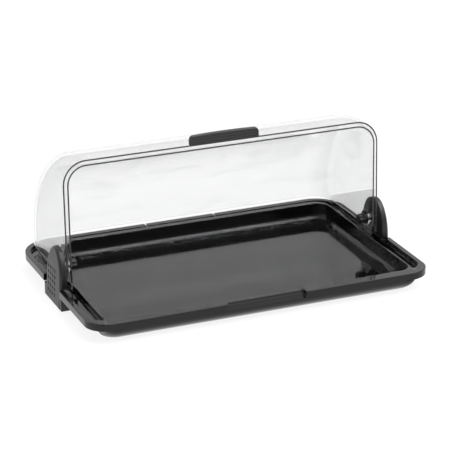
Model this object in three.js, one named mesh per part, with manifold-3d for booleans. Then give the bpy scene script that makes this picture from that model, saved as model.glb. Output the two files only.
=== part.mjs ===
// Buffet display case: a shallow black serving tray under a clear roll-top hood.
// The fixed rear cover stands in a channel moulded into the tray's rim.
// The larger front cover rolls over it about two pins in the side brackets.
// Millimetres, Z up, X along the length, Y to the back.
// The origin is on the table under the middle of the tray.

import * as THREE from 'three';
import { mergeVertices } from 'three/addons/utils/BufferGeometryUtils.js';
import Module from 'manifold-3d';

// Shared fits
const seatGap = 0.3;
const boreGap = 0.3;
const overrun = 4;

// Tray
const trayLength = 567;
const trayDepth = 367;
const trayHeight = 33.4;
const trayWall = 3;
const trayFootRise = 4.6;
const trayFootRing = 6;
const trayBottomRound = 4;
const rimFrontCorner = 34;
const rimRearCorner = 56;
const rimEdgeRound = 1.2;
const rimSkirt = 11.5;

// Well, set in from the tray's outer edge
const wellFrontBand = 17.2;
const wellSideBand = 29.2;
const wellRearBand = 27;
const wellFrontCorner = 18;
const wellRearCorner = 24;
const wellFrontDraft = 6.5;
const wellSideDraft = 1.4;
const wellRearDraft = 2.5;
const wellFillet = 9;
const wellEdgeRound = 1;
const bodySideBand = 25.1;
const bodyFrontTuck = 22.7;
const bodyFrontCorner = 13;
const bodyFootCorner = 24;
const bodyRearCorner = 27;

// Channel in the rim, down both sides and across the back
const channelSideWidth = 18.4;
const channelSideDepth = 8;
const channelRearWidth = 5.2;
const channelRearDepth = 6;
const channelRearInset = 16.6;
const channelSideInset = 26.9;
const channelFrontInset = 17.5;
const channelFrontCorner = 25.5;
const channelOuterCorner = 44.5;
const channelInnerCorner = 28;
const channelDeepEnd = 118;

// Front notch that takes the handle of the closed cover
const notchWidth = 129;
const notchDepth = 10.5;
const notchDrop = 1.5;
const notchRise = 6;
const notchCorner = 2;

// Slits through the rear ridge
const slitWidth = 3.2;
const slitSpacing = 122;
const slitDepth = 11.4;

// Covers
const pivotY = 3;
const pivotAboveRim = 25.5;
const coverWall = 2.4;
const coverGap = 3.9;
const coverSideInset = 17.7;
const coverRearInset = 6.5;
const frontCoverRound = 37.6;
const frontCoverLead = 23;
const frontCoverTilt = 2.2;
const frontCoverFoot = 17.5;
const rearCoverLead = 23.5;
const rearCoverTilt = 1.5;
const roundSteps = 7;
const turnSteps = 80;

// Handle on the front cover's edge
const handleLength = 116;
const handleFront = 19.5;
const handleDepth = 8;
const handleRise = 15.5;
const handleArch = 1.8;
const handleCorner = 7;
const handleEdgeRound = 2.5;
const handleLip = 1.8;
const handleGrooves = 3;
const handleGroovePitch = 4.2;
const handleGrooveWidth = 1.6;
const handleGrooveDepth = 0.6;
const handleGrooveStart = 5.6;

// Side brackets
const bracketWidth = 67;
const bracketCentre = 0.5;
const bracketProud = 0.2;
const bracketThick = 14;
const bracketLean = 5.2;
const bracketNeck = 5.6;
const bracketLift = 0.5;
const bracketSpring = 10;
const bracketRise = 50;
const bracketEdgeRound = 4.6;
const bracketFootRound = 2;
const hookLength = 21.8;
const hookLead = 6;
const hookStripWidth = 7.5;
const hookStripInset = 2;
const lugLead = 0.9;
const lugLength = 12;
const lugReach = 1.5;
const dimpleWidth = 5.6;
const dimpleHeight = 6.4;
const dimpleDepth = 0.9;
const dimpleColumns = 4;
const dimpleRows = 5;
const dimplePitchY = 10;
const dimplePitchZ = 9.8;
const dimpleBottom = 16.4;
const dimpleShift = 6.5;

// Pivots
const pinDiameter = 6;
const insertDiameter = 10;
const insertLength = 6;
const spacerDiameter = 18;
const hubDiameter = 27;
const hubThick = 2;
const knobDiameter = 17;
const knobLength = 12;
const knobLobes = 8;
const knobLobeDepth = 1.1;
const knobCap = 3;
const knobDomeShare = 0.72;

const rimTop = trayHeight;
const halfLength = trayLength / 2;
const halfDepth = trayDepth / 2;
const floorTop = trayFootRise + trayWall;
const wellDepth = trayHeight - floorTop;
const pivotZ = rimTop + pivotAboveRim;
const skirtBottom = rimTop - rimSkirt;

const frontCoverFace = halfLength - coverSideInset;
const frontCoverRadius = halfDepth - coverRearInset - pivotY;
const rearCoverRadius = frontCoverRadius - coverWall - coverGap;
const rearCoverFace = frontCoverFace - coverWall - coverGap;
const rearCoverRound = frontCoverRound - coverWall - coverGap;
const rearCoverFoot = rimTop - channelRearDepth + seatGap;

const bracketFace = halfLength + bracketProud;
const bracketInner = bracketFace - bracketThick;
const bracketNeckFace = bracketFace - bracketNeck;
const bracketFront = bracketCentre - bracketWidth / 2;
const bracketRear = bracketCentre + bracketWidth / 2;
const bracketTop = rimTop + bracketSpring + bracketRise;

const wasm = await Module();
wasm.setup();

// A closed three.js geometry becomes a solid that can be cut and joined.
function solid(geometry) {
  const bare = geometry.index ? geometry.clone() : geometry;
  bare.deleteAttribute('normal');
  bare.deleteAttribute('uv');
  const merged = mergeVertices(bare);
  const position = merged.attributes.position;
  const index = merged.index.array;
  const kept = [];
  for (let i = 0; i < index.length; i += 3) {
    const [a, b, c] = [index[i], index[i + 1], index[i + 2]];
    if (a !== b && b !== c && c !== a) kept.push(a, b, c);
  }
  return new wasm.Manifold(new wasm.Mesh({
    numProp: 3,
    vertProperties: new Float32Array(position.array),
    triVerts: new Uint32Array(kept),
  }));
}

function geometryOf(body) {
  const mesh = body.getMesh();
  const geometry = new THREE.BufferGeometry();
  const points = new Float32Array(mesh.numVert * 3);
  for (let i = 0; i < mesh.numVert; i += 1) {
    for (let k = 0; k < 3; k += 1) points[i * 3 + k] = mesh.vertProperties[i * mesh.numProp + k];
  }
  geometry.setAttribute('position', new THREE.BufferAttribute(points, 3));
  geometry.setIndex(new THREE.BufferAttribute(new Uint32Array(mesh.triVerts), 1));
  geometry.computeVertexNormals();
  return geometry;
}

// Plan outline with two front and two rear corners, counted the same at every size.
function planOutline(halfX, front, rear, frontRound, rearRound, steps) {
  const points = [];
  const corner = (cx, cy, radius, start) => {
    for (let i = 0; i <= steps; i += 1) {
      const angle = start + (i / steps) * (Math.PI / 2);
      points.push([cx + radius * Math.cos(angle), cy + radius * Math.sin(angle)]);
    }
  };
  corner(halfX - rearRound, rear - rearRound, rearRound, 0);
  corner(-halfX + rearRound, rear - rearRound, rearRound, Math.PI / 2);
  corner(-halfX + frontRound, front + frontRound, frontRound, Math.PI);
  corner(halfX - frontRound, front + frontRound, frontRound, Math.PI * 1.5);
  return points;
}

// Rings of equal count, from the bottom up, skinned into one closed body.
function skin(rings, placing, lean) {
  const count = rings[0].outline.length;
  const positions = [];
  const triangles = [];
  for (const ring of rings) for (const [x, y] of ring.outline) positions.push(x, y, ring.z);
  for (let r = 0; r + 1 < rings.length; r += 1) {
    for (let i = 0; i < count; i += 1) {
      const j = (i + 1) % count;
      const a = r * count + i;
      const b = r * count + j;
      const c = a + count;
      const d = b + count;
      triangles.push(a, b, d, a, d, c);
    }
  }
  const last = (rings.length - 1) * count;
  const flat = (outline) => outline.map(([x, y]) => new THREE.Vector2(x, y));
  for (const [a, b, c] of THREE.ShapeUtils.triangulateShape(flat(rings[0].outline), [])) {
    triangles.push(a, c, b);
  }
  for (const [a, b, c] of THREE.ShapeUtils.triangulateShape(flat(rings[rings.length - 1].outline), [])) {
    triangles.push(last + a, last + b, last + c);
  }
  const geometry = new THREE.BufferGeometry();
  geometry.setAttribute('position', new THREE.BufferAttribute(new Float32Array(positions), 3));
  geometry.setIndex(triangles);
  if (placing) geometry.applyMatrix4(placing);
  if (lean) {
    const place = geometry.attributes.position;
    for (let i = 0; i < place.count; i += 1) place.setX(i, lean(place.getY(i), place.getZ(i), place.getX(i)));
  }
  return solid(geometry);
}

// A flat outline raised from one height to another.
function raise(shape, bottom, top, steps) {
  const geometry = new THREE.ExtrudeGeometry(shape, { depth: top - bottom, bevelEnabled: false, curveSegments: steps });
  geometry.translate(0, 0, bottom);
  return solid(geometry);
}

function shapeOf(points) {
  return new THREE.Shape(points.map(([x, y]) => new THREE.Vector2(x, y)));
}

function block(x0, x1, y0, y1, z0, z1) {
  const geometry = new THREE.BoxGeometry(x1 - x0, y1 - y0, z1 - z0);
  geometry.translate((x0 + x1) / 2, (y0 + y1) / 2, (z0 + z1) / 2);
  return solid(geometry);
}

// An outline in the side view (Y, Z) pushed along X.
const alongX = new THREE.Matrix4().makeBasis(
  new THREE.Vector3(0, 1, 0),
  new THREE.Vector3(0, 0, 1),
  new THREE.Vector3(1, 0, 0),
);

function push(points, x0, x1) {
  const geometry = new THREE.ExtrudeGeometry(shapeOf(points), { depth: x1 - x0, bevelEnabled: false });
  geometry.translate(0, 0, x0);
  geometry.applyMatrix4(alongX);
  return solid(geometry);
}

// A round bar along X on the pivot axis.
function bar(radius, x0, x1, sides) {
  const geometry = new THREE.CylinderGeometry(radius, radius, Math.abs(x1 - x0), sides);
  geometry.rotateZ(-Math.PI / 2);
  geometry.translate((x0 + x1) / 2, pivotY, pivotZ);
  return solid(geometry);
}

// A box given by its distances from the middle, on the left or the right side.
function sideBlock(side, near, far, y0, y1, z0, z1) {
  return side > 0 ? block(near, far, y0, y1, z0, z1) : block(-far, -near, y0, y1, z0, z1);
}

// Tray: rim plate, tapered body, well, channel, notch and recesses
function wellRing(z, inset, drop) {
  const share = drop / wellDepth;
  return {
    z,
    outline: planOutline(
      halfLength - wellSideBand - wellSideDraft * share - inset,
      -halfDepth + wellFrontBand + wellFrontDraft * share + inset,
      halfDepth - wellRearBand - wellRearDraft * share - inset,
      wellFrontCorner - inset,
      wellRearCorner - inset,
      roundSteps,
    ),
  };
}

function wellCut() {
  const rings = [];
  const arcSteps = 4;
  for (let i = 0; i <= arcSteps; i += 1) {
    const angle = (i / arcSteps) * (Math.PI / 2);
    const z = floorTop + wellFillet * (1 - Math.cos(angle));
    rings.push(wellRing(z, wellFillet * (1 - Math.sin(angle)), rimTop - z));
  }
  rings.push(wellRing(rimTop - wellEdgeRound, 0, wellEdgeRound));
  rings.push(wellRing(rimTop, -wellEdgeRound / 2, 0));
  rings.push(wellRing(rimTop + overrun, -wellEdgeRound / 2, 0));
  return skin(rings);
}

// Below the skirt the front face curves back to the foot in one convex sweep.
function bodyRing(z, inset) {
  const share = (rimTop - z) / wellDepth;
  const low = Math.max(skirtBottom - z, 0) / skirtBottom;
  return {
    z,
    outline: planOutline(
      halfLength - bodySideBand - wellSideDraft * share - inset,
      -halfDepth + bodyFrontTuck * low * low + inset,
      halfDepth - wellRearBand + trayWall - wellRearDraft * share - inset,
      bodyFrontCorner + (bodyFootCorner - bodyFrontCorner) * low - inset,
      bodyRearCorner - inset,
      roundSteps,
    ),
  };
}

function trayBody() {
  const rings = [];
  const arcSteps = 4;
  for (let i = 0; i < arcSteps; i += 1) {
    const angle = (i / arcSteps) * (Math.PI / 2);
    const z = trayBottomRound * (1 - Math.cos(angle));
    rings.push(bodyRing(z, trayBottomRound * (1 - Math.sin(angle))));
  }
  const wallSteps = 6;
  for (let i = 0; i <= wallSteps; i += 1) {
    rings.push(bodyRing(trayBottomRound + (skirtBottom - trayBottomRound) * (i / wallSteps), 0));
  }
  rings.push(bodyRing(rimTop - rimEdgeRound, 0));
  return skin(rings);
}

function rimOutline(inset) {
  return planOutline(
    halfLength - inset,
    -halfDepth + inset,
    halfDepth - inset,
    rimFrontCorner - inset,
    rimRearCorner - inset,
    roundSteps + roundSteps,
  );
}

function rimPlate() {
  const rings = [{ z: skirtBottom, outline: rimOutline(0) }];
  const arcSteps = 3;
  for (let i = 0; i <= arcSteps; i += 1) {
    const angle = (i / arcSteps) * (Math.PI / 2);
    const z = rimTop - rimEdgeRound * (1 - Math.sin(angle));
    rings.push({ z, outline: rimOutline(rimEdgeRound * (1 - Math.cos(angle))) });
  }
  return skin(rings);
}

function channelShape(grow) {
  const inner = halfLength - channelSideInset - grow;
  const outer = inner + channelSideWidth + grow * 2;
  const frontRound = channelFrontCorner + grow;
  const frontX = outer - frontRound;
  const frontY = -halfDepth + channelFrontInset - grow + frontRound;
  const turn = Math.acos((inner - frontX) / frontRound);
  const rearInner = halfDepth - channelRearInset - grow;
  const rearOuter = rearInner + channelRearWidth + grow * 2;
  const outerRound = channelOuterCorner + grow;
  const innerRound = channelInnerCorner - grow;
  const shape = new THREE.Shape();
  shape.absarc(frontX, frontY, frontRound, -turn, 0, false);
  shape.absarc(outer - outerRound, rearOuter - outerRound, outerRound, 0, Math.PI / 2, false);
  shape.absarc(-outer + outerRound, rearOuter - outerRound, outerRound, Math.PI / 2, Math.PI, false);
  shape.absarc(-frontX, frontY, frontRound, Math.PI, Math.PI + turn, false);
  shape.absarc(-inner + innerRound, rearInner - innerRound, innerRound, Math.PI, Math.PI / 2, true);
  shape.absarc(inner - innerRound, rearInner - innerRound, innerRound, Math.PI / 2, 0, true);
  shape.closePath();
  return shape;
}

function channelCut(grow) {
  const steps = roundSteps + roundSteps;
  const top = rimTop + overrun;
  const shallow = raise(channelShape(grow), rimTop - channelRearDepth - grow, top, steps);
  const deep = raise(channelShape(grow), rimTop - channelSideDepth - grow, top, steps);
  const side = block(-halfLength, halfLength, -halfDepth, channelDeepEnd + grow, 0, top);
  return shallow.add(deep.intersect(side));
}

// The notch stops at the skirt's lower edge, where its back slopes out to the front face.
function notchCut() {
  const back = -halfDepth + notchDepth;
  const front = -halfDepth - overrun;
  const outline = planOutline(notchWidth / 2, front, back, notchCorner / 2, notchCorner, 2);
  const top = rimTop + overrun;
  const slope = notchRise / notchDepth;
  const profile = [[front, skirtBottom - overrun * slope], [back, skirtBottom + notchRise], [back, top], [front, top]];
  return raise(shapeOf(outline), 0, top, 1).intersect(push(profile, -halfLength, halfLength));
}

function notchStep() {
  const back = -halfDepth + wellFrontBand + wellFrontDraft;
  return block(-notchWidth / 2, notchWidth / 2, -halfDepth - overrun, back, rimTop - notchDrop, rimTop + overrun);
}

function recessCut(side, grow) {
  const inner = bracketNeckFace - seatGap - grow;
  const outer = halfLength + overrun;
  const front = bracketCentre - bracketWidth / 2 - seatGap - grow;
  const rear = bracketCentre + bracketWidth / 2 + hookStripWidth + seatGap + grow;
  return sideBlock(side, inner, outer, front, rear, -overrun, rimTop + overrun);
}

function tray() {
  const body = trayBody();
  const steps = roundSteps + roundSteps;
  let hollow = raise(shapeOf(rimOutline(trayWall)), skirtBottom - overrun, rimTop - trayWall, steps);
  hollow = hollow.subtract(body).subtract(channelCut(trayWall));
  let result = rimPlate().add(body).subtract(wellCut()).subtract(channelCut(0));
  for (const side of [-1, 1]) {
    hollow = hollow.subtract(recessCut(side, trayWall));
    result = result.subtract(recessCut(side, 0));
    const slitX = side * slitSpacing / 2;
    const slitFront = halfDepth - slitDepth;
    const slitHalf = slitWidth / 2;
    result = result.subtract(block(
      slitX - slitHalf, slitX + slitHalf, slitFront, halfDepth + overrun, -overrun, rimTop + overrun,
    ));
  }
  result = result.subtract(hollow).subtract(notchCut()).subtract(notchStep());
  const foot = trayBottomRound + trayFootRing;
  const recess = [
    { z: -overrun, outline: bodyRing(0, foot).outline },
    { z: trayFootRise, outline: bodyRing(0, foot + trayFootRise / 2).outline },
  ];
  return result.subtract(skin(recess));
}

// Covers: a rounded profile turned about the pivot axis
function coverProfile(face, radius, round) {
  const points = [];
  for (let i = 0; i <= roundSteps; i += 1) {
    const angle = (i / roundSteps) * (Math.PI / 2);
    points.push([face - round + round * Math.cos(angle), radius - round + round * Math.sin(angle)]);
  }
  return points;
}

function turned(face, radius, round) {
  const half = coverProfile(face, radius, round);
  const profile = [new THREE.Vector2(0, -face)];
  for (const [x, r] of half) profile.push(new THREE.Vector2(r, -x));
  for (const [x, r] of [...half].reverse()) profile.push(new THREE.Vector2(r, x));
  profile.push(new THREE.Vector2(0, face));
  const geometry = new THREE.LatheGeometry(profile, turnSteps);
  geometry.rotateZ(-Math.PI / 2);
  geometry.translate(0, pivotY, pivotZ);
  return solid(geometry);
}

function pinHole() {
  return bar(pinDiameter / 2 + boreGap, -halfLength, halfLength, 20);
}

// The part of a cover behind its front edge and above its lower edge
function coverSector(lead, tilt, foot, reach) {
  const slope = Math.tan(THREE.MathUtils.degToRad(tilt));
  return push([
    [pivotY - lead - foot * slope, pivotZ - foot],
    [pivotY + reach, pivotZ - foot],
    [pivotY + reach, pivotZ + reach],
    [pivotY - lead + reach * slope, pivotZ + reach],
  ], -halfLength, halfLength);
}

function frontCover() {
  const outer = turned(frontCoverFace, frontCoverRadius, frontCoverRound);
  const inner = turned(frontCoverFace - coverWall, frontCoverRadius - coverWall, frontCoverRound - coverWall);
  const sector = coverSector(frontCoverLead, frontCoverTilt, frontCoverFoot, frontCoverRadius + overrun);
  return outer.subtract(inner).intersect(sector).subtract(pinHole());
}

function rearCoverSolid(face, radius, round, bottom) {
  const above = block(-halfLength, halfLength, -halfDepth, halfDepth, pivotZ, pivotZ + radius + overrun);
  const half = coverProfile(face, radius, round);
  const plan = half.map(([x, r]) => [x, pivotY + r]);
  const mirrored = [...half].reverse().map(([x, r]) => [-x, pivotY + r]);
  const front = -halfDepth;
  const outline = [[face, front], ...plan, ...mirrored, [-face, front]];
  return turned(face, radius, round).intersect(above).add(raise(shapeOf(outline), bottom, pivotZ, 1));
}

function rearCover() {
  const outer = rearCoverSolid(rearCoverFace, rearCoverRadius, rearCoverRound, rearCoverFoot);
  const inner = rearCoverSolid(
    rearCoverFace - coverWall, rearCoverRadius - coverWall, rearCoverRound - coverWall, rearCoverFoot - overrun,
  );
  const reach = rearCoverRadius + overrun;
  const sector = coverSector(rearCoverLead, rearCoverTilt, pivotZ - rearCoverFoot + overrun, reach);
  return outer.subtract(inner).intersect(sector).subtract(pinHole());
}

// Handle: a grip bonded on the front cover, with a lip over the cover's edge
function handleSection() {
  const slope = Math.tan(THREE.MathUtils.degToRad(frontCoverTilt));
  const front = -handleFront;
  const back = front + handleDepth;
  const outside = frontCoverRadius + seatGap;
  const bottom = frontCoverRadius - handleLip;
  const top = frontCoverRadius + handleRise;
  const onCircle = (radius, u) => [u, Math.sqrt(radius * radius - u * u)];
  const edge = (radius) => -frontCoverLead + radius * slope - seatGap * 2;
  const points = [];
  const bottomFront = onCircle(bottom, front)[1];
  points.push([front, bottomFront], onCircle(bottom, edge(bottom)));
  points.push(onCircle(outside, edge(outside)), onCircle(outside, (edge(outside) + back) / 2), onCircle(outside, back));
  const arcSteps = 3;
  for (let i = 0; i <= arcSteps; i += 1) {
    const angle = (i / arcSteps) * (Math.PI / 2);
    const x = back - handleEdgeRound + handleEdgeRound * Math.cos(angle);
    points.push([x, top - handleEdgeRound + handleEdgeRound * Math.sin(angle)]);
  }
  for (let i = 0; i <= arcSteps; i += 1) {
    const angle = (1 + i / arcSteps) * (Math.PI / 2);
    const x = front + handleEdgeRound + handleEdgeRound * Math.cos(angle);
    points.push([x, top - handleEdgeRound + handleEdgeRound * Math.sin(angle)]);
  }
  for (let i = 0; i < handleGrooves; i += 1) {
    const middle = top - handleGrooveStart - i * handleGroovePitch;
    points.push([front, middle + handleGrooveWidth / 2]);
    points.push([front + handleGrooveDepth, middle]);
    points.push([front, middle - handleGrooveWidth / 2]);
  }
  return points.map(([u, w]) => [pivotY + u, pivotZ + w]);
}

function handle() {
  const halfX = handleLength / 2;
  const top = pivotZ + frontCoverRadius + handleRise;
  const bottom = pivotZ + frontCoverRadius - handleLip - overrun;
  const shape = new THREE.Shape();
  const shoulder = top - handleArch;
  shape.moveTo(-halfX, bottom);
  shape.lineTo(halfX, bottom);
  shape.lineTo(halfX, shoulder - handleCorner);
  shape.quadraticCurveTo(halfX, shoulder, halfX - handleCorner, shoulder);
  shape.quadraticCurveTo(0, top + handleArch, -halfX + handleCorner, shoulder);
  shape.quadraticCurveTo(-halfX, shoulder, -halfX, shoulder - handleCorner);
  shape.closePath();
  const geometry = new THREE.ExtrudeGeometry(shape, { depth: trayDepth, bevelEnabled: false, curveSegments: 8 });
  geometry.rotateX(Math.PI / 2);
  geometry.translate(0, halfDepth, 0);
  return push(handleSection(), -halfX, halfX).intersect(solid(geometry));
}

// Bracket: a grip plate that clips round the rim, with a hook below and a stop lug above
function plateOutline(inset) {
  const half = bracketWidth / 2 - inset;
  const bottom = bracketLift + inset;
  const spring = rimTop + bracketSpring;
  const points = [];
  const steps = 18;
  for (let i = 0; i <= steps; i += 1) {
    const angle = (i / steps) * Math.PI;
    points.push([bracketCentre + half * Math.cos(angle), spring + (bracketRise - inset) * Math.sin(angle)]);
  }
  points.push([bracketCentre - half, bottom + bracketFootRound]);
  points.push([bracketCentre - half + bracketFootRound, bottom]);
  points.push([bracketCentre + half - bracketFootRound, bottom]);
  points.push([bracketCentre + half, bottom + bracketFootRound]);
  return points;
}

// The grip face leans in towards the top.
function faceLean(z) {
  return (bracketLean * (z - bracketLift)) / (bracketTop - bracketLift);
}

function gripPlate(side) {
  const arcSteps = 3;
  const levels = [{ depth: 0, outline: plateOutline(0) }];
  for (let i = 0; i <= arcSteps; i += 1) {
    const angle = (i / arcSteps) * (Math.PI / 2);
    const depth = bracketThick - bracketEdgeRound * (1 - Math.sin(angle));
    levels.push({ depth, outline: plateOutline(bracketEdgeRound * (1 - Math.cos(angle))) });
  }
  const rings = levels.map((level) => ({ z: side * level.depth, outline: level.outline }));
  const lean = (y, z, depth) => {
    const share = Math.abs(depth) / bracketThick;
    return side * (bracketInner + Math.abs(depth) - share * faceLean(z));
  };
  return skin(side > 0 ? rings : rings.reverse(), alongX, lean);
}

function dimple(side, row, column) {
  const y = bracketCentre + dimpleShift + (column - (dimpleColumns - 1) / 2) * dimplePitchY;
  const z = dimpleBottom + row * dimplePitchZ;
  const ball = new THREE.SphereGeometry(1, 8, 4);
  ball.rotateZ(Math.PI / 2);
  ball.scale(dimpleDepth, dimpleWidth / 2, dimpleHeight / 2);
  ball.translate(side * (bracketFace - faceLean(z)), y, z);
  return solid(ball);
}

function bracket(side) {
  const slotBottom = skirtBottom - seatGap;
  const slotTop = rimTop + seatGap;
  const root = bracketNeckFace + overrun / 2;
  const hookTip = bracketFace - hookLength;
  const lugTip = rearCoverFace + lugReach;
  const lugFront = pivotY + frontCoverFoot + seatGap + lugLead;
  const lugTop = pivotZ - frontCoverFoot - seatGap;
  const rear = bracketRear - bracketEdgeRound;
  const hookFace = bracketFace - faceLean(slotBottom);
  let body = gripPlate(side);
  body = body.subtract(sideBlock(side, 0, bracketNeckFace, bracketFront - overrun, bracketRear + overrun, 0, slotTop));
  body = body.add(sideBlock(side, hookTip, root, bracketFront, rear, bracketLift, slotBottom));
  body = body.add(sideBlock(
    side, hookTip, hookFace, bracketFront - hookLead, bracketFront + bracketEdgeRound, bracketLift, slotBottom,
  ));
  body = body.add(sideBlock(
    side, hookTip + hookStripInset, hookFace, rear - overrun, bracketRear + hookStripWidth, bracketLift, slotBottom,
  ));
  body = body.add(sideBlock(side, lugTip, bracketInner + overrun, lugFront, lugFront + lugLength, slotTop, lugTop));
  body = body.subtract(bar(
    insertDiameter / 2 + boreGap, side * (bracketInner - overrun), side * (bracketInner + insertLength + seatGap * 2), 24,
  ));
  for (let row = 0; row < dimpleRows; row += 1) {
    for (let column = 0; column < dimpleColumns; column += 1) body = body.subtract(dimple(side, row, column));
  }
  return body;
}

// Rings and pins on the pivot axis, from the bracket inwards
function ring(side, outside, hole, near, far, sides) {
  return bar(outside / 2, side * near, side * far, sides).subtract(
    bar(hole / 2, side * (near - overrun), side * (far + overrun), sides),
  );
}

const pinBore = pinDiameter + boreGap * 2;
const hubOuter = rearCoverFace - coverWall - seatGap;
const hubInner = hubOuter - hubThick;
const knobOuter = hubInner - seatGap;
const knobInner = knobOuter - knobLength;
const pinInner = knobInner + knobCap + seatGap;
const insertInner = bracketInner + seatGap;
const pinOuter = insertInner + insertLength - seatGap;

function pivotPin(side) {
  return bar(pinDiameter / 2, side * pinInner, side * pinOuter, 20);
}

function insert(side) {
  return ring(side, insertDiameter, pinBore, insertInner, insertInner + insertLength, 24);
}

function outerSpacer(side) {
  return ring(side, spacerDiameter, pinBore, frontCoverFace + seatGap, bracketInner - seatGap, 24);
}

function innerSpacer(side) {
  return ring(side, spacerDiameter, pinBore, rearCoverFace + seatGap, frontCoverFace - coverWall - seatGap, 24);
}

function hub(side) {
  return ring(side, hubDiameter, pinBore, hubInner, hubOuter, 28);
}

// A lobed grip knob with a domed inner end and a blind bore for the pin
function knob(side) {
  const sidesPerLobe = 4;
  const count = knobLobes * sidesPerLobe;
  const outline = (shrink) => {
    const points = [];
    for (let i = 0; i < count; i += 1) {
      const angle = (i / count) * Math.PI * 2;
      const dip = knobLobeDepth * (1 - Math.cos(angle * knobLobes)) / 2;
      const radius = (knobDiameter / 2 - dip) * shrink;
      points.push([pivotY + radius * Math.cos(angle), pivotZ + radius * Math.sin(angle)]);
    }
    return points;
  };
  const rings = [
    { z: knobInner, outline: outline(knobDomeShare) },
    { z: knobInner + knobCap / 2, outline: outline((1 + knobDomeShare) / 2) },
    { z: knobInner + knobCap, outline: outline(1) },
    { z: knobOuter, outline: outline(1) },
  ];
  const placed = side > 0 ? rings : rings.map((item) => ({ z: -item.z, outline: item.outline })).reverse();
  const bore = bar(pinBore / 2, side * (knobInner + knobCap), side * (knobOuter + overrun), 20);
  return skin(placed, alongX).subtract(bore);
}

// Materials
function material(color, roughness, metalness, opacity) {
  const clear = opacity < 1;
  return new THREE.MeshStandardMaterial({ color, roughness, metalness, transparent: clear, opacity });
}

const blackGloss = () => material(0x0c0c0d, 0.16, 0, 1);
const blackSatin = () => material(0x1d1e20, 0.42, 0, 1);
const greySatin = () => material(0x303235, 0.5, 0, 1);
const clearSheet = () => material(0xe9edee, 0.05, 0, 0.28);
const clearWasher = () => material(0xdfe4e6, 0.2, 0, 0.5);
const steel = () => material(0xb4b6b8, 0.3, 1, 1);
const brass = () => material(0xb08d4a, 0.35, 1, 1);

const buffetCase = new THREE.Group();
buffetCase.name = 'buffet_display_case';

function place(parent, name, body, look) {
  const mesh = new THREE.Mesh(geometryOf(body), look);
  mesh.name = name;
  parent.add(mesh);
}

const base = new THREE.Group();
const roll = new THREE.Group();
buffetCase.add(base, roll);

place(base, 'tray', tray(), blackGloss());
place(base, 'rear_cover', rearCover(), clearSheet());
place(roll, 'front_cover', frontCover(), clearSheet());
place(roll, 'handle', handle(), greySatin());

for (const [word, side] of [['left', -1], ['right', 1]]) {
  place(base, `bracket_${word}`, bracket(side), blackSatin());
  place(base, `bracket_insert_${word}`, insert(side), brass());
  place(base, `pivot_pin_${word}`, pivotPin(side), steel());
  place(base, `outer_spacer_${word}`, outerSpacer(side), clearWasher());
  place(base, `inner_spacer_${word}`, innerSpacer(side), clearWasher());
  place(base, `hub_washer_${word}`, hub(side), clearWasher());
  place(base, `knob_${word}`, knob(side), blackSatin());
}

export default buffetCase;
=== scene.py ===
# %% [markdown]
# # A buffet display case, dressed for its picture
# The case is a shallow black tray under a clear roll-top hood. Two clear covers nest in each
# other: the rear one stands still in the tray's rim, and the front one rolls over it about a pin
# in each side bracket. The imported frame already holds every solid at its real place. This lesson
# gives each solid a smooth skin of its own and a finish, and then lights the case softly.

# %% Load the frame
import math

import bmesh
import bpy
import numpy as np
from mathutils import Matrix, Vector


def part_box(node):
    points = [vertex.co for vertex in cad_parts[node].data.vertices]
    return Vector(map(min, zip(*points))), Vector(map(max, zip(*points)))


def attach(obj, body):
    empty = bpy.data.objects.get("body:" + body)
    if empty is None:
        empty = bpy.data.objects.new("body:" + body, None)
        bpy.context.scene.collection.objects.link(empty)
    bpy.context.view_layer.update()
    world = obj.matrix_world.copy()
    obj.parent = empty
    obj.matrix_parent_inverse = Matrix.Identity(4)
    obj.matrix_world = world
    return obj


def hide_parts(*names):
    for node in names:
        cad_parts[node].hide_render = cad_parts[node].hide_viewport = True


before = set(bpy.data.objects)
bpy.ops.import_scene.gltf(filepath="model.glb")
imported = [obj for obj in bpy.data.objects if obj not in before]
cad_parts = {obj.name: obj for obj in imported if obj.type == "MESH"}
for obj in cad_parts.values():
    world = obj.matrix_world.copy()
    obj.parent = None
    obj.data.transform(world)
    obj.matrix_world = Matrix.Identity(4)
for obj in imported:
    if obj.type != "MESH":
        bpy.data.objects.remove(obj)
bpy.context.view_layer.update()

MM = 0.001

# %% [markdown]
# ## Sizes
# All sizes are millimetres in the frame's own axes: X along the case, Y to the back, Z up. The
# tray's outside is read from the frame, and the other sizes are those of the part's own drawing.

# %% Sizes of tray and hood
tray_low, tray_high = [np.array(c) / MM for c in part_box("tray")]
rim_half = tray_high[0]
rim_front, rim_rear = tray_low[1], tray_high[1]
rim_top = tray_high[2]
rim_front_corner, rim_rear_corner = 34.0, 56.0
skirt_height, wall, rim_round = 11.5, 3.0, 1.2
foot_rise = 4.6
floor_top = foot_rise + wall
well_depth = rim_top - floor_top
well_side, well_front, well_rear = 29.2, 17.2, 27.0
well_front_corner, well_rear_corner, well_fillet = 18, 24, 9
lean_side, lean_front, lean_rear = 1.4, 6.5, 2.5
body_side, body_tuck, foot_round = 25.1, 22.7, 4
body_front_corner, foot_front_corner, body_rear_corner = 13, 24, 27
channel_in_side, channel_out_side, channel_corner = 256.6, 275.0, 25.5
channel_in_rear, channel_out_rear = 166.9, 172.1
channel_side_depth, channel_rear_depth = 8, 6
notch_width, notch_depth, notch_drop_full = 129.0, 10.5, 1.5
slit_spacing, slit_width, slit_depth = 122.0, 3.2, 11.4
seat_front, seat_rear, seat_depth = -33.3, 41.8, rim_half - 277.8
fit = 0.3
pivot_y, pivot_z = 3.0, rim_top + 25.5
front_radius, front_face, front_round = 174.0, 265.8, 37.6
cover_wall, cover_gap = 2.4, 3.9
rear_radius = front_radius - cover_wall - cover_gap
rear_face = front_face - cover_wall - cover_gap
rear_round = front_round - cover_wall - cover_gap
tray_size = (2 * rim_half, rim_rear - rim_front, rim_top)
print("tray %.0f x %.0f x %.1f mm, pivot %.1f mm up" % (*tray_size, pivot_z))

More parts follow.
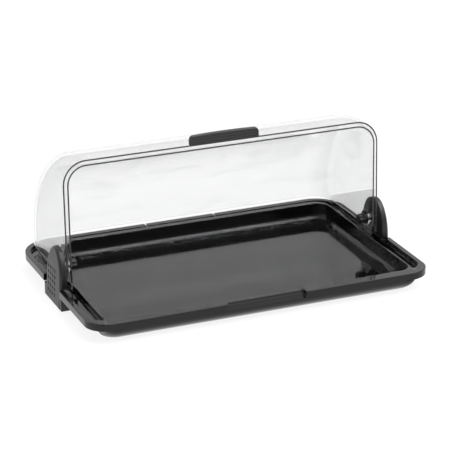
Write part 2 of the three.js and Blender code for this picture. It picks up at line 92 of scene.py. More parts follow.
# %% [markdown]
# ## From arrays to a mesh
# Every skin below is a grid: rings of points, each ring closed on itself. Neighbouring rings are
# joined by four-sided faces, and the first and last rings are filled. Points that meet at a seam
# or a pole are welded, and the signed volume tells which way the faces must look.

# %% Grid and mesh helpers
def ring_grid(points, fill=True):
    """Rings of points (rings, stations, 3) as (points, faces, caps): face k of ring r joins
    stations k and k + 1 of rings r and r + 1, and station numbers run round and round."""
    rings, stations = points.shape[:2]
    number = np.arange(rings * stations).reshape(rings, stations)
    after = np.roll(number, -1, axis=1)
    faces = np.stack([number[:-1], after[:-1], after[1:], number[1:]], axis=-1).reshape(-1, 4)
    caps = [number[0][::-1].tolist(), number[-1].tolist()] if fill else []
    return points.reshape(-1, 3), faces, caps


def make_piece(name, shapes, sharp=38, masks=None):
    """Puts (points, faces, caps) shapes into one mesh, welds it, turns it outwards and marks
    edges sharper than the given angle. masks holds one share of painted shade per four-sided face."""
    points, faces, offset = [], [], 0
    caps = []
    for shape_points, shape_faces, shape_caps in shapes:
        points.append(shape_points * MM)
        faces.append(shape_faces + offset)
        caps += [[corner + offset for corner in cap] for cap in shape_caps]
        offset += len(shape_points)
    mesh = bpy.data.meshes.new(name)
    mesh.from_pydata(np.concatenate(points).tolist(), [], np.concatenate(faces).tolist() + caps)
    # The per-face masks are stored as an attribute: the share of painted shade on each face.
    if masks is not None:
        layer = mesh.attributes.new("edge_painted_shade", "FLOAT", "FACE")
        values = np.zeros(len(mesh.polygons))
        values[:len(masks)] = masks
        layer.data.foreach_set("value", values)
    work = bmesh.new()
    work.from_mesh(mesh)
    bmesh.ops.remove_doubles(work, verts=work.verts, dist=2e-6)
    if work.calc_volume(signed=True) < 0:
        bmesh.ops.reverse_faces(work, faces=work.faces)
    open_edges = sum(not edge.is_manifold for edge in work.edges)
    work.to_mesh(mesh)
    work.free()
    mesh.polygons.foreach_set("use_smooth", np.ones(len(mesh.polygons), dtype=bool))
    mesh.set_sharp_from_angle(angle=math.radians(sharp))
    piece = bpy.data.objects.new(name, mesh)
    bpy.context.scene.collection.objects.link(piece)
    print("%s: %d faces, %d open edges" % (name, len(mesh.polygons), open_edges))
    return piece


def keep_flats_flat(piece):
    """Weights the shading by face area, so that a flat stays flat beside a small rounding."""
    weigh = piece.modifiers.new("flat_shading", "WEIGHTED_NORMAL")
    weigh.keep_sharp = True


# %% [markdown]
# ## The tray's plan
# Seen from above, every line of a moulded tray is the same rounded rectangle at another size:
# well, ridge, channel, rim. One function gives them all with the same stations, so that ring after
# ring can be skinned. A notch or slit is not cut; its stations lie close together and the rim's
# outer rings step inwards there.

# %% Stations round the tray
def step_in(edge, depth, outward, outer_round, inner_round):
    """Stations across one side of a notch: a quarter arc in the outer corner, then one in the
    inner corner. Gives where along the edge and how far in, running into the notch."""
    turn = np.radians([0, 30, 60, 90])
    fall = 0.02
    along = np.concatenate([outer_round * (1 - np.sin(turn)), -inner_round * (1 - np.cos(turn)) - fall])
    inward = np.concatenate([outer_round * (1 - np.cos(turn)), depth - inner_round * (1 - np.sin(turn))])
    return edge + outward * along, inward


def side_stations(low, high, notches, spacing=14.0, margin=1.5):
    """Stations from low to high with every notch (from, to, depth, outer round, inner round).
    Plain stations keep a margin from each notch."""
    where, inward = [], []
    start = low
    for first, last, depth, outer_round, inner_round in sorted(notches):
        into, into_depth = step_in(first, depth, -1, outer_round, inner_round)
        out, out_depth = step_in(last, depth, 1, outer_round, inner_round)
        plain = np.linspace(start, into[0] - margin, max(2, int((into[0] - start) / spacing) + 2))
        between = np.linspace(into[-1], out[-1], max(2, int((out[-1] - into[-1]) / spacing) + 2))[1:-1]
        where += [plain, into, between, out[::-1]]
        inward += [0 * plain, into_depth, 0 * between + depth, out_depth[::-1]]
        start = out[0] + margin
    plain = np.linspace(start, high, max(2, int((high - start) / spacing) + 2))
    return np.concatenate(where + [plain]), np.concatenate(inward + [0 * plain])


handle_notch = (-notch_width / 2, notch_width / 2, notch_depth, 1.0, 2.0)
bracket_seat = (seat_front, seat_rear, seat_depth, 0.6, 0.6)
slits = []
for side in (-1, 1):
    middle, half = side * slit_spacing / 2, slit_width / 2
    slits.append((middle - half, middle + half, slit_depth, 0.5, 0.6))
tip_cosine = (channel_in_side - (channel_out_side - channel_corner)) / channel_corner
channel_tip = math.degrees(math.acos(tip_cosine))
corner_count = 20
front_turn = np.concatenate([np.linspace(-90, -channel_tip, 5), np.linspace(-channel_tip, 0, 16)[1:]])
rear_turn = np.linspace(0, 90, corner_count)

side_from, side_to, rear_reach, front_reach = -137, 126, 224, 233
right_at, right_in = side_stations(side_from, side_to, [bracket_seat])
rear_at, rear_in = side_stations(-rear_reach, rear_reach, slits)
front_at, front_in = side_stations(-front_reach, front_reach, [handle_notch])
print("stations: right %d, rear %d, front %d" % (len(right_at), len(rear_at), len(front_at)))

# %% Rounded rectangles on those stations
RIGHT, REAR_RIGHT, REAR, REAR_LEFT, LEFT, FRONT_LEFT, FRONT, FRONT_RIGHT = range(8)
counts = []
for side_count in (len(right_at), len(rear_at), len(right_at), len(front_at)):
    counts += [side_count, corner_count]
zone = np.repeat(np.arange(8), counts)
normal_turn = np.radians(np.concatenate([
    0 * right_at, rear_turn, 0 * rear_at + 90, rear_turn + 90, 0 * right_at + 180,
    -front_turn[::-1] + 180, 0 * front_at + 270, front_turn + 360,
]))
inward_way = -np.stack([np.cos(normal_turn), np.sin(normal_turn)], axis=-1)
no_step = np.zeros(corner_count)
step = np.concatenate([
    right_in, no_step, rear_in[::-1], no_step, right_in[::-1], no_step, front_in, no_step,
])


def plan(half, front, rear, front_corner, rear_corner):
    """A rounded rectangle: straight stations keep their own place along the edge, and corner
    stations are the corner's centre plus its radius times (cosine, sine) of the turn."""
    outline = np.zeros((len(zone), 2))
    arc = np.stack([np.cos(normal_turn), np.sin(normal_turn)], axis=-1)
    outline[zone == RIGHT] = np.stack([0 * right_at + half, right_at], axis=-1)
    outline[zone == REAR] = np.stack([rear_at[::-1], 0 * rear_at + rear], axis=-1)
    outline[zone == LEFT] = np.stack([0 * right_at - half, right_at[::-1]], axis=-1)
    outline[zone == FRONT] = np.stack([front_at, 0 * front_at + front], axis=-1)
    for corner, side, end, radius in (
        (REAR_RIGHT, 1, rear - rear_corner, rear_corner),
        (REAR_LEFT, -1, rear - rear_corner, rear_corner),
        (FRONT_LEFT, -1, front + front_corner, front_corner),
        (FRONT_RIGHT, 1, front + front_corner, front_corner),
    ):
        centre = np.array([side * (half - radius), end])
        outline[zone == corner] = centre + radius * arc[zone == corner]
    return outline


def level(outline, height):
    """Adds a height, one for all stations or one for each, to a plan outline."""
    return np.concatenate([outline, np.broadcast_to(height, (len(outline),)).reshape(-1, 1)], axis=1)


print("one ring has %d stations" % len(zone))

# %% [markdown]
# ## The tray's skin
# The tray is one injection moulding. Its section, from the middle of the well outwards, is a flat
# floor, a fillet, a steep wall, a narrow ridge, the channel in which the hood stands, the broad
# rim, a skirt, and under it the body and the foot. Each bend of that section is a few rings.

# %% Channel lines
in_front, in_corner, in_rear_corner = rim_front + 15.3, 20, 28
out_front, out_rear_corner = rim_front + 17.5, 44.5
channel_in = plan(channel_in_side, in_front, channel_in_rear, in_corner, in_rear_corner)
channel_out = plan(channel_out_side, out_front, channel_out_rear, channel_corner, out_rear_corner)
front_corner = (zone == FRONT_RIGHT) | (zone == FRONT_LEFT)
turned_down = np.degrees(np.arcsin(np.clip(-np.sin(normal_turn), -1, 1)))
in_tip = front_corner & (turned_down <= channel_tip + 0.01)
past_tip = front_corner & ~in_tip
side_sign = np.sign(channel_out[:, 0])
channel_in[in_tip] = np.stack([side_sign[in_tip] * channel_in_side, channel_out[in_tip, 1]], axis=-1)
tip = np.array([channel_in_side, channel_out[in_tip, 1].min()])
front_end, front_in_line, front_out_line = 240, rim_front + 13.1, rim_front + 12.1
share = ((turned_down - channel_tip) / (90 - channel_tip))[past_tip, None]
for line, front_line in ((channel_in, front_in_line), (channel_out, front_out_line)):
    line[zone == FRONT, 1] = front_line
    goal_y = np.full(past_tip.sum(), line[zone == FRONT, 1][0])
    goal = np.stack([side_sign[past_tip] * front_end, goal_y], axis=-1)
    start = np.stack([side_sign[past_tip] * tip[0], np.full(past_tip.sum(), tip[1])], axis=-1)
    line[past_tip] = start + (goal - start) * share
gap = np.linalg.norm(channel_out - channel_in, axis=1)
across = (channel_out - channel_in) / np.maximum(gap, 1e-6)[:, None]
across[gap < 1e-3] = -inward_way[gap < 1e-3]
cut_deep = np.isin(zone, (RIGHT, LEFT, REAR_RIGHT, REAR_LEFT, REAR)) | in_tip
shallow_from, shallow_over = 108, 12
late = np.clip((channel_out[:, 1] - shallow_from) / shallow_over, 0, 1)
full_depth = channel_side_depth - (channel_side_depth - channel_rear_depth) * late
deep = np.where(cut_deep, full_depth, 0) * np.where(zone == FRONT, 0, np.clip(gap / 3, 0, 1)) * ~past_tip
print("channel %.1f mm wide at the sides, %.1f at the back" % (gap[zone == RIGHT][5], gap[zone == REAR][5]))

# %% Section of the tray, ring by ring
notch_drop = np.where(zone == FRONT, notch_drop_full * np.clip(step / notch_depth, 0, 1), 0)
slit_drop = np.where(zone == REAR, channel_rear_depth * np.clip(step / slit_depth, 0, 1), 0)
notch_round, round_reach = 1.0, 4
share_in = np.clip(step / round_reach, 0, 1)
edge_round = rim_round - (rim_round - notch_round) * share_in


def well_line(drop, inset):
    """The well's outline at a depth below the rim: its walls lean in with depth."""
    lean = drop / well_depth
    return plan(
        rim_half - well_side - lean_side * lean - inset,
        rim_front + well_front + lean_front * lean + inset,
        rim_rear - well_rear - lean_rear * lean - inset,
        well_front_corner - inset,
        well_rear_corner - inset,
    )


def body_line(drop, inset):
    """The outside of the body under the rim. In front it is flush with the rim, and below the
    skirt it curves back with the square of the share of the way down to the foot."""
    lean = drop / well_depth
    low = max(drop - skirt_height, 0) / (rim_top - skirt_height)
    return plan(
        rim_half - body_side - lean_side * lean - inset,
        rim_front + body_tuck * low ** 2 + inset,
        rim_rear - (well_rear - wall) - lean_rear * lean - inset,
        body_front_corner + (foot_front_corner - body_front_corner) * low - inset,
        body_rear_corner - inset,
    )


rim_plan = plan(rim_half, rim_front, rim_rear, rim_front_corner, rim_rear_corner)
rim_line = rim_plan + inward_way * step[:, None]
arc = np.radians(np.linspace(0, 90, 7))
floor_insets = (14, 9.6)
rings = [level(well_line(well_depth, inset), floor_top) for inset in floor_insets]
for turn in arc:
    height = well_fillet * (1 - math.cos(turn))
    inset = well_fillet * (1 - math.sin(turn))
    rings.append(level(well_line(well_depth - height, inset), floor_top + height))
upper_wall = 6.5
rings.append(level(well_line(upper_wall, 0), rim_top - upper_wall))
for turn in arc[::2]:
    height = rim_top - rim_round + rim_round * math.sin(turn) - notch_drop
    rings.append(level(well_line(rim_round, -rim_round * (1 - math.cos(turn))), height))
top_round_full, top_round_share, channel_round_full, channel_round_share = 0.8, 0.2, 1.8, 0.3
top_round = np.minimum(top_round_full, gap * top_round_share)
channel_round = np.minimum(channel_round_full, gap * channel_round_share)
hollow = deep / channel_side_depth
for near, way in ((channel_in, 1), (channel_out, -1)):
    bend = []
    for turn in arc[::2]:
        along = -top_round + top_round * math.sin(turn)
        fall = top_round * (1 - math.cos(turn)) * np.minimum(1, hollow)
        bend.append(level(near + way * across * along[:, None], rim_top - fall))
    for turn in arc[::2]:
        along = channel_round * (1 - math.cos(turn))
        fall = (deep - channel_round * (1 - math.sin(turn)) * np.minimum(1, hollow)).clip(0)
        bend.append(level(near + way * across * along[:, None], rim_top - fall))
    if way < 0:
        bend = bend[::-1]
        for ring in bend:
            ring[:, 2] = np.minimum(ring[:, 2], rim_top - slit_drop)
    for ring in bend:
        ring[:, 2] -= notch_drop
    rings += bend
for turn in arc:
    inset = edge_round * (1 - math.sin(turn))
    height = rim_top - edge_round * (1 - math.cos(turn)) - notch_drop - slit_drop
    rings.append(level(rim_line + inward_way * inset[:, None], height))
skirt_foot = rim_top - skirt_height
skirt_middle = skirt_foot + 6
rings.append(level(rim_line, skirt_middle))
skirt_line = rim_plan + inward_way * np.where(zone == FRONT, 0, step)[:, None]
low_round = 0.8
for turn in arc[::3]:
    inset = low_round * (1 - math.cos(turn)) * (zone != FRONT)
    height = skirt_foot + low_round * (1 - math.sin(turn))
    rings.append(level(skirt_line + inward_way * inset[:, None], height))

# %% Underside of the rim, and the body down to the foot
top_of_body = body_line(skirt_height, 0)
under_gap = np.linalg.norm(top_of_body - skirt_line, axis=1)
closed_gap, opening_over, widest_skirt_share = 3, 10, 0.45
open_under = np.clip((under_gap - closed_gap) / opening_over, 0, 1)
skirt_share = np.minimum(wall / np.maximum(under_gap, 0.1), widest_skirt_share)
rim_underside = np.maximum(rim_top - wall - deep, skirt_foot + 0.5)
under_rings = ((0.9, skirt_foot, 0.2), (1.0, skirt_foot + 0.3, 0.4), (1.0, rim_underside, 0.6))
for share, height, fall in under_rings:
    place = skirt_line + (top_of_body - skirt_line) * (share * skirt_share)[:, None]
    rings.append(level(place, open_under * height + (1 - open_under) * (skirt_foot - fall)))
rings.append(level(top_of_body, open_under * rim_underside + (1 - open_under) * (skirt_foot - 0.8)))
body_top, body_low, body_rings = skirt_foot - 1.2, 5.0, 9
for height in np.linspace(body_top, body_low, body_rings):
    rings.append(level(body_line(rim_top - height, 0), height))
for turn in arc[::-1]:
    height = foot_round * (1 - math.cos(turn))
    rings.append(level(body_line(rim_top - height, foot_round * (1 - math.sin(turn))), height))
foot_ring = ((9.6, 0), (10.2, 0.6), (12.2, foot_rise), (13.4, foot_rise))
for inset, height in foot_ring:
    rings.append(level(body_line(rim_top, inset), height))
tray = make_piece("tray_skin", [ring_grid(np.stack(rings))], sharp=40)
keep_flats_flat(tray)
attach(tray, "base")
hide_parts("tray")

# %% [markdown]
# ## The clear covers
# Each cover is a rounded box profile turned about the pivot pins, cut off by a nearly upright
# plane in front. A turned grid would meet that plane badly, so the grid fans instead: planes
# through the cover's lower front corner swing from the front edge to the foot, and each plane
# cuts the turned shape in one arch.

# %% Arch of a cover
# Share of the cut edges' painted shade that the covers' end walls get.
wall_painted_shade = 0.14
wall_count, bend_count, crown_count, swing_count = 15, 15, 24, 78


def cover_surface(face, radius, round_, lead, tilt, hinge, foot, inset):
    """One side of a cover as rows of arches. The lower front corner lies below the pivot by hinge
    and before it by lead plus what the front edge leans, at the angle tilt. In the plane at angle
    a through that corner, a point at distance d from it has the height and depth d times sine
    and cosine of a. The end wall is flat, and where the distance r to the pivot passes the radius
    less the rounding, the arch bends inwards as a quarter circle and runs across. Below the
    corner the last arch goes straight down to the foot, a height against the pivot's."""
    slope = math.tan(math.radians(tilt))
    corner = np.array([-lead - hinge * slope, -hinge])
    face, radius, round_ = face - inset, radius - inset, round_ - inset
    top, close, near = 90 - tilt, 0.15, 0.8
    even = np.linspace(top - near, near, swing_count)
    swing = np.radians(np.concatenate([[top, top - close], even, [close, 0]]))
    way = np.stack([np.cos(swing), np.sin(swing)], axis=-1)
    turn = np.linspace(0, np.pi / 2, bend_count)
    reach = way @ corner

    def distance(r):
        return -reach[:, None] + np.sqrt(reach[:, None] ** 2 - corner @ corner + r ** 2)

    bend_r = (radius - round_ + round_ * np.sin(turn))[None]
    bend_d = distance(bend_r)
    wall_d = bend_d[:, :1] * np.linspace(0, 1, wall_count + 1)[None, :-1]
    half_d = np.concatenate([wall_d, bend_d], axis=1)
    half_x = np.concatenate([np.full(wall_count, face), face - round_ + round_ * np.cos(turn)])
    across_x = np.linspace(half_x[-1], -half_x[-1], crown_count + 2)[1:-1]
    crown_d = np.repeat(half_d[:, -1:], crown_count, axis=1)
    d = np.concatenate([half_d, crown_d, half_d[:, ::-1]], axis=1)
    x = np.concatenate([half_x, across_x, -half_x[::-1]])
    y = corner[0] + d * way[:, :1]
    z = corner[1] + d * way[:, 1:]
    points = np.stack([np.broadcast_to(x, y.shape), y, z], axis=-1)
    drop, end_row, first_row, row_count = -hinge - foot, 0.3, 0.5, 6
    if drop > end_row:
        fall = np.concatenate([[end_row], np.linspace(first_row, drop - end_row, row_count), [drop]])
        lower = np.repeat(points[-1:], len(fall), axis=0)
        lower[:, :, 2] = points[-1, :, 2] - fall[:, None]
        lower[:, 0, 1] -= fall * slope
        lower[:, -1, 1] -= fall * slope
        points = np.concatenate([points, lower])
    return points + np.array([0, pivot_y, pivot_z])


def cover_piece(name, face, radius, round_, lead, tilt, hinge, foot):
    """Outer and inner sides, joined along the arch in front and along the foot. The cut edges
    carry painted shade, and the end walls a share of it, which fades out across the rounded corner."""
    outside = cover_surface(face, radius, round_, lead, tilt, hinge, foot, 0)
    inside = cover_surface(face, radius, round_, lead, tilt, hinge, foot, cover_wall)
    loop = np.concatenate([outside, inside[::-1]], axis=0)
    rows = len(outside)
    points, faces, caps = ring_grid(np.swapaxes(loop, 0, 1))
    column = np.arange(loop.shape[1] - 1)
    from_foot = np.minimum(column, column[::-1])
    fade = np.clip((wall_count + bend_count - 1 - from_foot) / (bend_count - 1), 0, 1)
    # Painted shade: full on the cut edges, a share on the end walls, fading across the corner.
    mask = np.repeat(wall_painted_shade * fade[:, None], loop.shape[0], axis=1)
    mask[:, [rows - 1, 2 * rows - 1]] = 1
    return make_piece(name, [(points, faces, caps)], sharp=45, masks=mask.reshape(-1))


front_shape = dict(lead=23.0, tilt=2.2, hinge=17.5, foot=-17.5)
front_cover = cover_piece("front_cover_skin", front_face, front_radius, front_round, **front_shape)
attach(front_cover, "front_roll")
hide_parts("front_cover")
rear_sink = 5.7
rear_shape = dict(lead=23.5, tilt=1.5, hinge=0.0, foot=rim_top - rear_sink - pivot_z)
rear_cover = cover_piece("rear_cover_skin", rear_face, rear_radius, rear_round, **rear_shape)
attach(rear_cover, "base")
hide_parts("rear_cover")

# %% [markdown]
# ## The handle
# The handle is a slim moulded bar on the front cover's edge, with a lip over the edge, softly
# rounded ends and faint ribs along its face. Its section is carried along the case; near the ends
# the section gets thinner and lower along quarter circles.

# %% Handle
def handle_bar():
    """Section points as functions of the place along the bar: within r of an end, the section
    gets thinner by r - sqrt(r^2 - (r - distance to the end)^2), and the top falls in the same
    way and also with the square of the distance from the middle."""
    half, thick_from, thick_to = 58.0, -19.5, -11.5
    end_zone, end_round, end_corner, arch, crown_round = 7, 1.6, 6.5, 1.6, 2.2
    height, lip_drop, lip_edge = 15.5, 1.8, 0.8
    groove_count, groove_start, groove_pitch = 3, 5.6, 4.2
    groove_depth, groove_half, groove_end = 0.5, 0.9, 3
    crown_flat, lip_soft, lip_step, lip_rise = 0.2, 0.4, 0.3, 0.1
    turn = np.linspace(0, 1, 12)
    ends = half - end_zone * (1 - np.sin(turn * np.pi / 2))
    between = np.linspace(-half + end_zone, half - end_zone, 30)
    x = np.unique(np.round(np.concatenate([-ends, between, ends]), 4))
    to_end = half - np.abs(x)
    soft = np.clip(end_round - to_end, 0, end_round)
    thin = end_round - np.sqrt(np.maximum(end_round ** 2 - soft ** 2, 0))
    corner = np.clip(end_corner - to_end, 0, end_corner)
    fall = end_corner - np.sqrt(np.maximum(end_corner ** 2 - corner ** 2, 0))
    top = front_radius + height - arch * (x / half) ** 2 - fall
    front, back = thick_from + thin, thick_to - thin
    crown = np.minimum(crown_round, (back - front) / 2 - crown_flat)
    lip = np.full_like(x, front_radius - lip_drop)
    levels = np.linspace(0, 1, 46)[None]
    span = top[:, None] - crown[:, None] - lip[:, None] - lip_edge
    rise = lip[:, None] + lip_edge + span * levels
    groove = np.zeros(rise.shape)
    for k in range(groove_count):
        middle = front_radius + height - groove_start - k * groove_pitch
        groove = groove + groove_depth * np.clip(1 - np.abs(rise - middle) / groove_half, 0, 1)
    groove = groove * np.clip((to_end[:, None] - groove_end) / groove_end, 0, 1)
    face = np.stack([front[:, None] + groove, rise], axis=-1)
    turns = np.radians(np.linspace(0, 90, 7))[None]
    over = np.stack([front[:, None] + crown[:, None] * (1 - np.cos(turns)),
                     top[:, None] - crown[:, None] * (1 - np.sin(turns))], axis=-1)
    down = np.stack([back[:, None] - crown[:, None] * (1 - np.sin(turns)),
                     top[:, None] - crown[:, None] * (1 - np.cos(turns))], axis=-1)
    cover_edge = -16.9
    rest_u = np.linspace(0, 1, 5)[None] * (np.minimum(cover_edge, back) - back)[:, None] + back[:, None]
    rest = np.stack([rest_u, np.sqrt(front_radius ** 2 - rest_u ** 2) + fit], axis=-1)
    edge_u = np.maximum(cover_edge, front + lip_soft)[:, None]
    under_u = np.concatenate([edge_u, edge_u - lip_step, front[:, None] + lip_soft], axis=1)
    under_v = np.concatenate([lip[:, None] + lip_soft, lip[:, None], lip[:, None] + lip_rise], axis=1)
    under = np.stack([under_u, under_v], axis=-1)
    section = np.concatenate([face, over, down, rest, under], axis=1)
    along = np.broadcast_to(x[:, None], section.shape[:2])
    return ring_grid(np.stack([along, section[..., 0] + pivot_y, section[..., 1] + pivot_z], axis=-1))


handle = make_piece("handle_bar", [handle_bar()], sharp=50)
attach(handle, "front_roll")
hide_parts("handle")

# %% [markdown]
# ## The side brackets
# A bracket is an arched grip plate that clips round the rim, with a hook under the skirt. Its
# outer face carries rows of thumb dimples. The plate is a grid of rows from foot to crown; the
# edge rounding and the dimples are both depths worked out for every point.

# %% Grip plate
seat_y, plate_half, plate_foot, spring, crown_rise = 0.5, 33.5, 0.5, rim_top + 10, 50.0
plate_thick, neck_thick, full_lean, plate_edge = 14, 5.6, 5.2, 4.6
plate_face = rim_half + 0.2
plate_inner, neck_inner = plate_face - plate_thick, plate_face - neck_thick
dimple_columns, dimple_rows, pitch_y, pitch_z = 4, 5, 10, 9.8
dimple_half_y, dimple_half_z, dimple_depth = 2.8, 3.2, 1.7
dimples_back, first_row_up = 6.5, 16.4
foot_soft, foot_edge, row_step, slot_step = 2, 1.2, 0.8, 0.01
crown_rows, face_columns, back_columns = 74, 131, 15


def face_lean(z):
    """How far the grip face leans in at a height."""
    return full_lean * (z - plate_foot) / (spring + crown_rise - plate_foot)


def grip_plate(side):
    """Row z, column s: the point lies s half-widths from the middle. The face falls back near
    the edge as r - sqrt(r^2 - (r - d)^2), with d the distance to the edge, and each dimple is a
    bowl, its depth times the root of one less the squared distance."""
    slot = rim_top + fit
    straight = np.concatenate([
        plate_foot + foot_soft * (1 - np.cos(np.linspace(0, np.pi / 2, 5))),
        np.arange(plate_foot + foot_soft + row_step, slot - row_step / 2, row_step),
        [slot - slot_step, slot + slot_step],
        np.arange(slot + row_step, spring - 0.3, row_step),
    ])
    rise = np.linspace(0, np.pi / 2, crown_rows)
    z = np.concatenate([straight, spring + crown_rise * np.sin(rise)])
    to_foot = np.clip(foot_soft - (z - plate_foot), 0, foot_soft)
    foot_in = foot_soft - np.sqrt(np.maximum(foot_soft ** 2 - to_foot ** 2, 0))
    half = np.concatenate([np.full(len(straight), plate_half), plate_half * np.cos(rise)]) - foot_in
    s = np.sin(np.linspace(-np.pi / 2, np.pi / 2, face_columns))
    y = seat_y + s[None] * half[:, None]
    height = np.broadcast_to(z[:, None], y.shape)
    u = (y - seat_y) / plate_half
    v = np.clip(height - spring, 0, None) / crown_rise
    q = np.sqrt(u ** 2 + v ** 2)
    slope = np.sqrt((u / plate_half) ** 2 + (v / crown_rise) ** 2) / np.maximum(q, 1e-6)
    d = np.minimum((1 - q) / np.maximum(slope, 1e-6), (height - plate_foot) + foot_edge)
    to_flat = plate_edge - np.clip(d, 0, plate_edge)
    fallen = plate_edge - np.sqrt(np.maximum(plate_edge ** 2 - to_flat ** 2, 0))
    row_y = seat_y + dimples_back + (np.arange(dimple_columns) - (dimple_columns - 1) / 2) * pitch_y
    bowls_y, bowls_z = np.meshgrid(row_y, first_row_up + np.arange(dimple_rows) * pitch_z)
    off_y = (y[..., None] - bowls_y.ravel()) / dimple_half_y
    off_z = (height[..., None] - bowls_z.ravel()) / dimple_half_z
    bowl = dimple_depth * np.sqrt(np.clip(1 - (off_y ** 2 + off_z ** 2), 0, 1)).max(axis=-1)
    outer = plate_face - face_lean(height) - fallen - bowl
    t = np.linspace(1, -1, back_columns)
    inner_y = seat_y + t[None] * half[:, None]
    inner = np.where(z < slot, neck_inner, plate_inner)[:, None] + 0 * inner_y
    x = np.concatenate([outer, inner], axis=1)
    level_z = np.repeat(z[:, None], x.shape[1], axis=1)
    return ring_grid(np.stack([side * x, np.concatenate([y, inner_y], axis=1), level_z], axis=-1))


# %% Rounded blocks for the hook and the stop lug
def soft_block(side, low, high, radius):
    """A ball whose eight octants are moved apart to the block's corners: each point is the
    octant's corner plus the radius times the direction."""
    quarter = np.linspace(0, np.pi / 2, 5)
    spin = np.concatenate([quarter + k * np.pi / 2 for k in range(4)])
    sign_x = np.repeat([1, -1, -1, 1], 5)
    sign_y = np.repeat([1, 1, -1, -1], 5)
    tip_up = np.concatenate([quarter - np.pi / 2, quarter])
    sign_z = np.repeat([-1, 1], 5)
    middle = (np.array(low) + high) / 2
    room = (np.array(high) - low) / 2 - radius
    x = middle[0] + sign_x[None] * room[0] + radius * np.cos(tip_up)[:, None] * np.cos(spin)[None]
    y = middle[1] + sign_y[None] * room[1] + radius * np.cos(tip_up)[:, None] * np.sin(spin)[None]
    z = middle[2] + (sign_z * room[2] + radius * np.sin(tip_up))[:, None] + 0 * x
    return ring_grid(np.stack([side * x, y, z], axis=-1))


hook_top = rim_top - skirt_height - fit
hook_tip, hook_face = plate_face - 21.8, plate_face - face_lean(hook_top)
plate_front, plate_rear = seat_y - plate_half, seat_y + plate_half
hook_root, hook_rear = neck_inner + 2, plate_rear - plate_edge
tab_front, tab_rear = plate_front - 6, plate_front + plate_edge
strip_tip, strip_front, strip_rear = hook_tip + 2, hook_rear - 4, plate_rear + 7.5
lug_tip, lug_root = rear_face + 1.5, plate_inner + 4
lug_front, lug_length, lug_top = pivot_y + 18.7, 12, pivot_z - 17.8
hook_round, lug_round = 0.6, 0.5
blocks = (
    ((hook_tip, tab_front, plate_foot), (hook_face, tab_rear, hook_top), hook_round),
    ((hook_tip, plate_front, plate_foot), (hook_root, hook_rear, hook_top), hook_round),
    ((strip_tip, strip_front, plate_foot), (hook_face, strip_rear, hook_top), hook_round),
    ((lug_tip, lug_front, rim_top + fit), (lug_root, lug_front + lug_length, lug_top), lug_round),
)
brackets = []
for word, side in (("left", -1), ("right", 1)):
    shapes = [grip_plate(side)] + [soft_block(side, low, high, radius) for low, high, radius in blocks]
    bracket = make_piece("bracket_grip_" + word, shapes, sharp=35)
    brackets.append(bracket)
    keep_flats_flat(bracket)
    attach(bracket, "clip_" + word)
    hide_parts("bracket_" + word)

# %% [markdown]
# ## Pins, rings and knobs
# Everything on the pivot is turned: a pin through both covers, a brass insert in the bracket, a
# clear ring between each pair of walls, and inside the hood a clear washer and a lobed knob. One
# function turns a closed outline about the pin, and a wave in the radius gives the knob its lobes.

# %% Turned parts
knob_radius, lobe_depth = 8.5, 1.1


def turned(side, outline, lobes):
    """Outline points (x, r) turned about the pin. With lobes, r shrinks by the lobe depth times
    half of one less the cosine of the lobe angle, in proportion to r."""
    outline = np.array(outline, dtype=float)
    angle = np.linspace(0, 2 * np.pi, 64 if lobes else 56, endpoint=False)
    wave = 1 - lobe_depth / knob_radius * (1 - np.cos(angle * lobes)) / 2
    r = outline[:, 1:] * wave[None] if lobes else outline[:, 1:] + 0 * angle[None]
    x = side * outline[:, :1] + 0 * r
    points = np.stack([x, pivot_y + r * np.cos(angle), pivot_z + r * np.sin(angle)], axis=-1)
    return ring_grid(points, fill=False)


def ring_outline(near, far, hole, outside, soft):
    """A closed rectangle with its two outer corners rounded, as (x, r) points."""
    turn = np.radians(np.linspace(0, 90, 5))
    along, fall = soft * (1 - np.sin(turn)), soft * (1 - np.cos(turn))
    first = np.stack([near + along[::-1], outside - fall[::-1]], axis=-1)
    second = np.stack([far - along, outside - fall], axis=-1)
    return np.concatenate([[[near, hole]], first, second, [[far, hole], [near, hole]]])


washer_thick, washer_radius, washer_soft = 2, 13.5, 0.6
spacer_radius, spacer_soft = 9, 0.4
insert_far, insert_radius, insert_soft = plate_inner + 6.3, 5, 0.3
pin_radius, pin_soft = 3, 0.3
bore = pin_radius + fit
knob_length, knob_cap, knob_flat_radius, knob_edge, knob_edge_radius = 12, 3, 3.5, 0.5, 8.1
dome_depth, dome_rise, dome_foot = 2.6, 2.9, 5.6
hub_outer = rear_face - cover_wall - fit
hub_inner = hub_outer - washer_thick
knob_outer = hub_inner - fit
knob_inner = knob_outer - knob_length
dome = np.radians(np.linspace(0, 90, 8))
dome_x, dome_r = knob_inner + dome_depth * (1 - np.cos(dome)), dome_foot + dome_rise * np.sin(dome)
knob_outline = np.concatenate([
    [[knob_inner, 0], [knob_inner, knob_flat_radius]],
    np.stack([dome_x, dome_r], axis=-1),
    [[knob_outer - knob_edge, knob_radius], [knob_outer, knob_edge_radius], [knob_outer, bore]],
    [[knob_inner + knob_cap, bore], [knob_inner + knob_cap, 0]],
])
pin_near, pin_far = knob_inner + knob_cap + fit, plate_inner + 6
pin_outline = [
    [pin_near, 0], [pin_near, pin_radius - pin_soft], [pin_near + pin_soft, pin_radius],
    [pin_far - pin_soft, pin_radius], [pin_far, pin_radius - pin_soft], [pin_far, 0],
]
front_inner = front_face - cover_wall
outer_spacer_outline = ring_outline(front_face + fit, plate_inner - fit, bore, spacer_radius, spacer_soft)
inner_spacer_outline = ring_outline(rear_face + fit, front_inner - fit, bore, spacer_radius, spacer_soft)
washer_outline = ring_outline(hub_inner, hub_outer, bore, washer_radius, washer_soft)
insert_outline = ring_outline(plate_inner + fit, insert_far, bore, insert_radius, insert_soft)
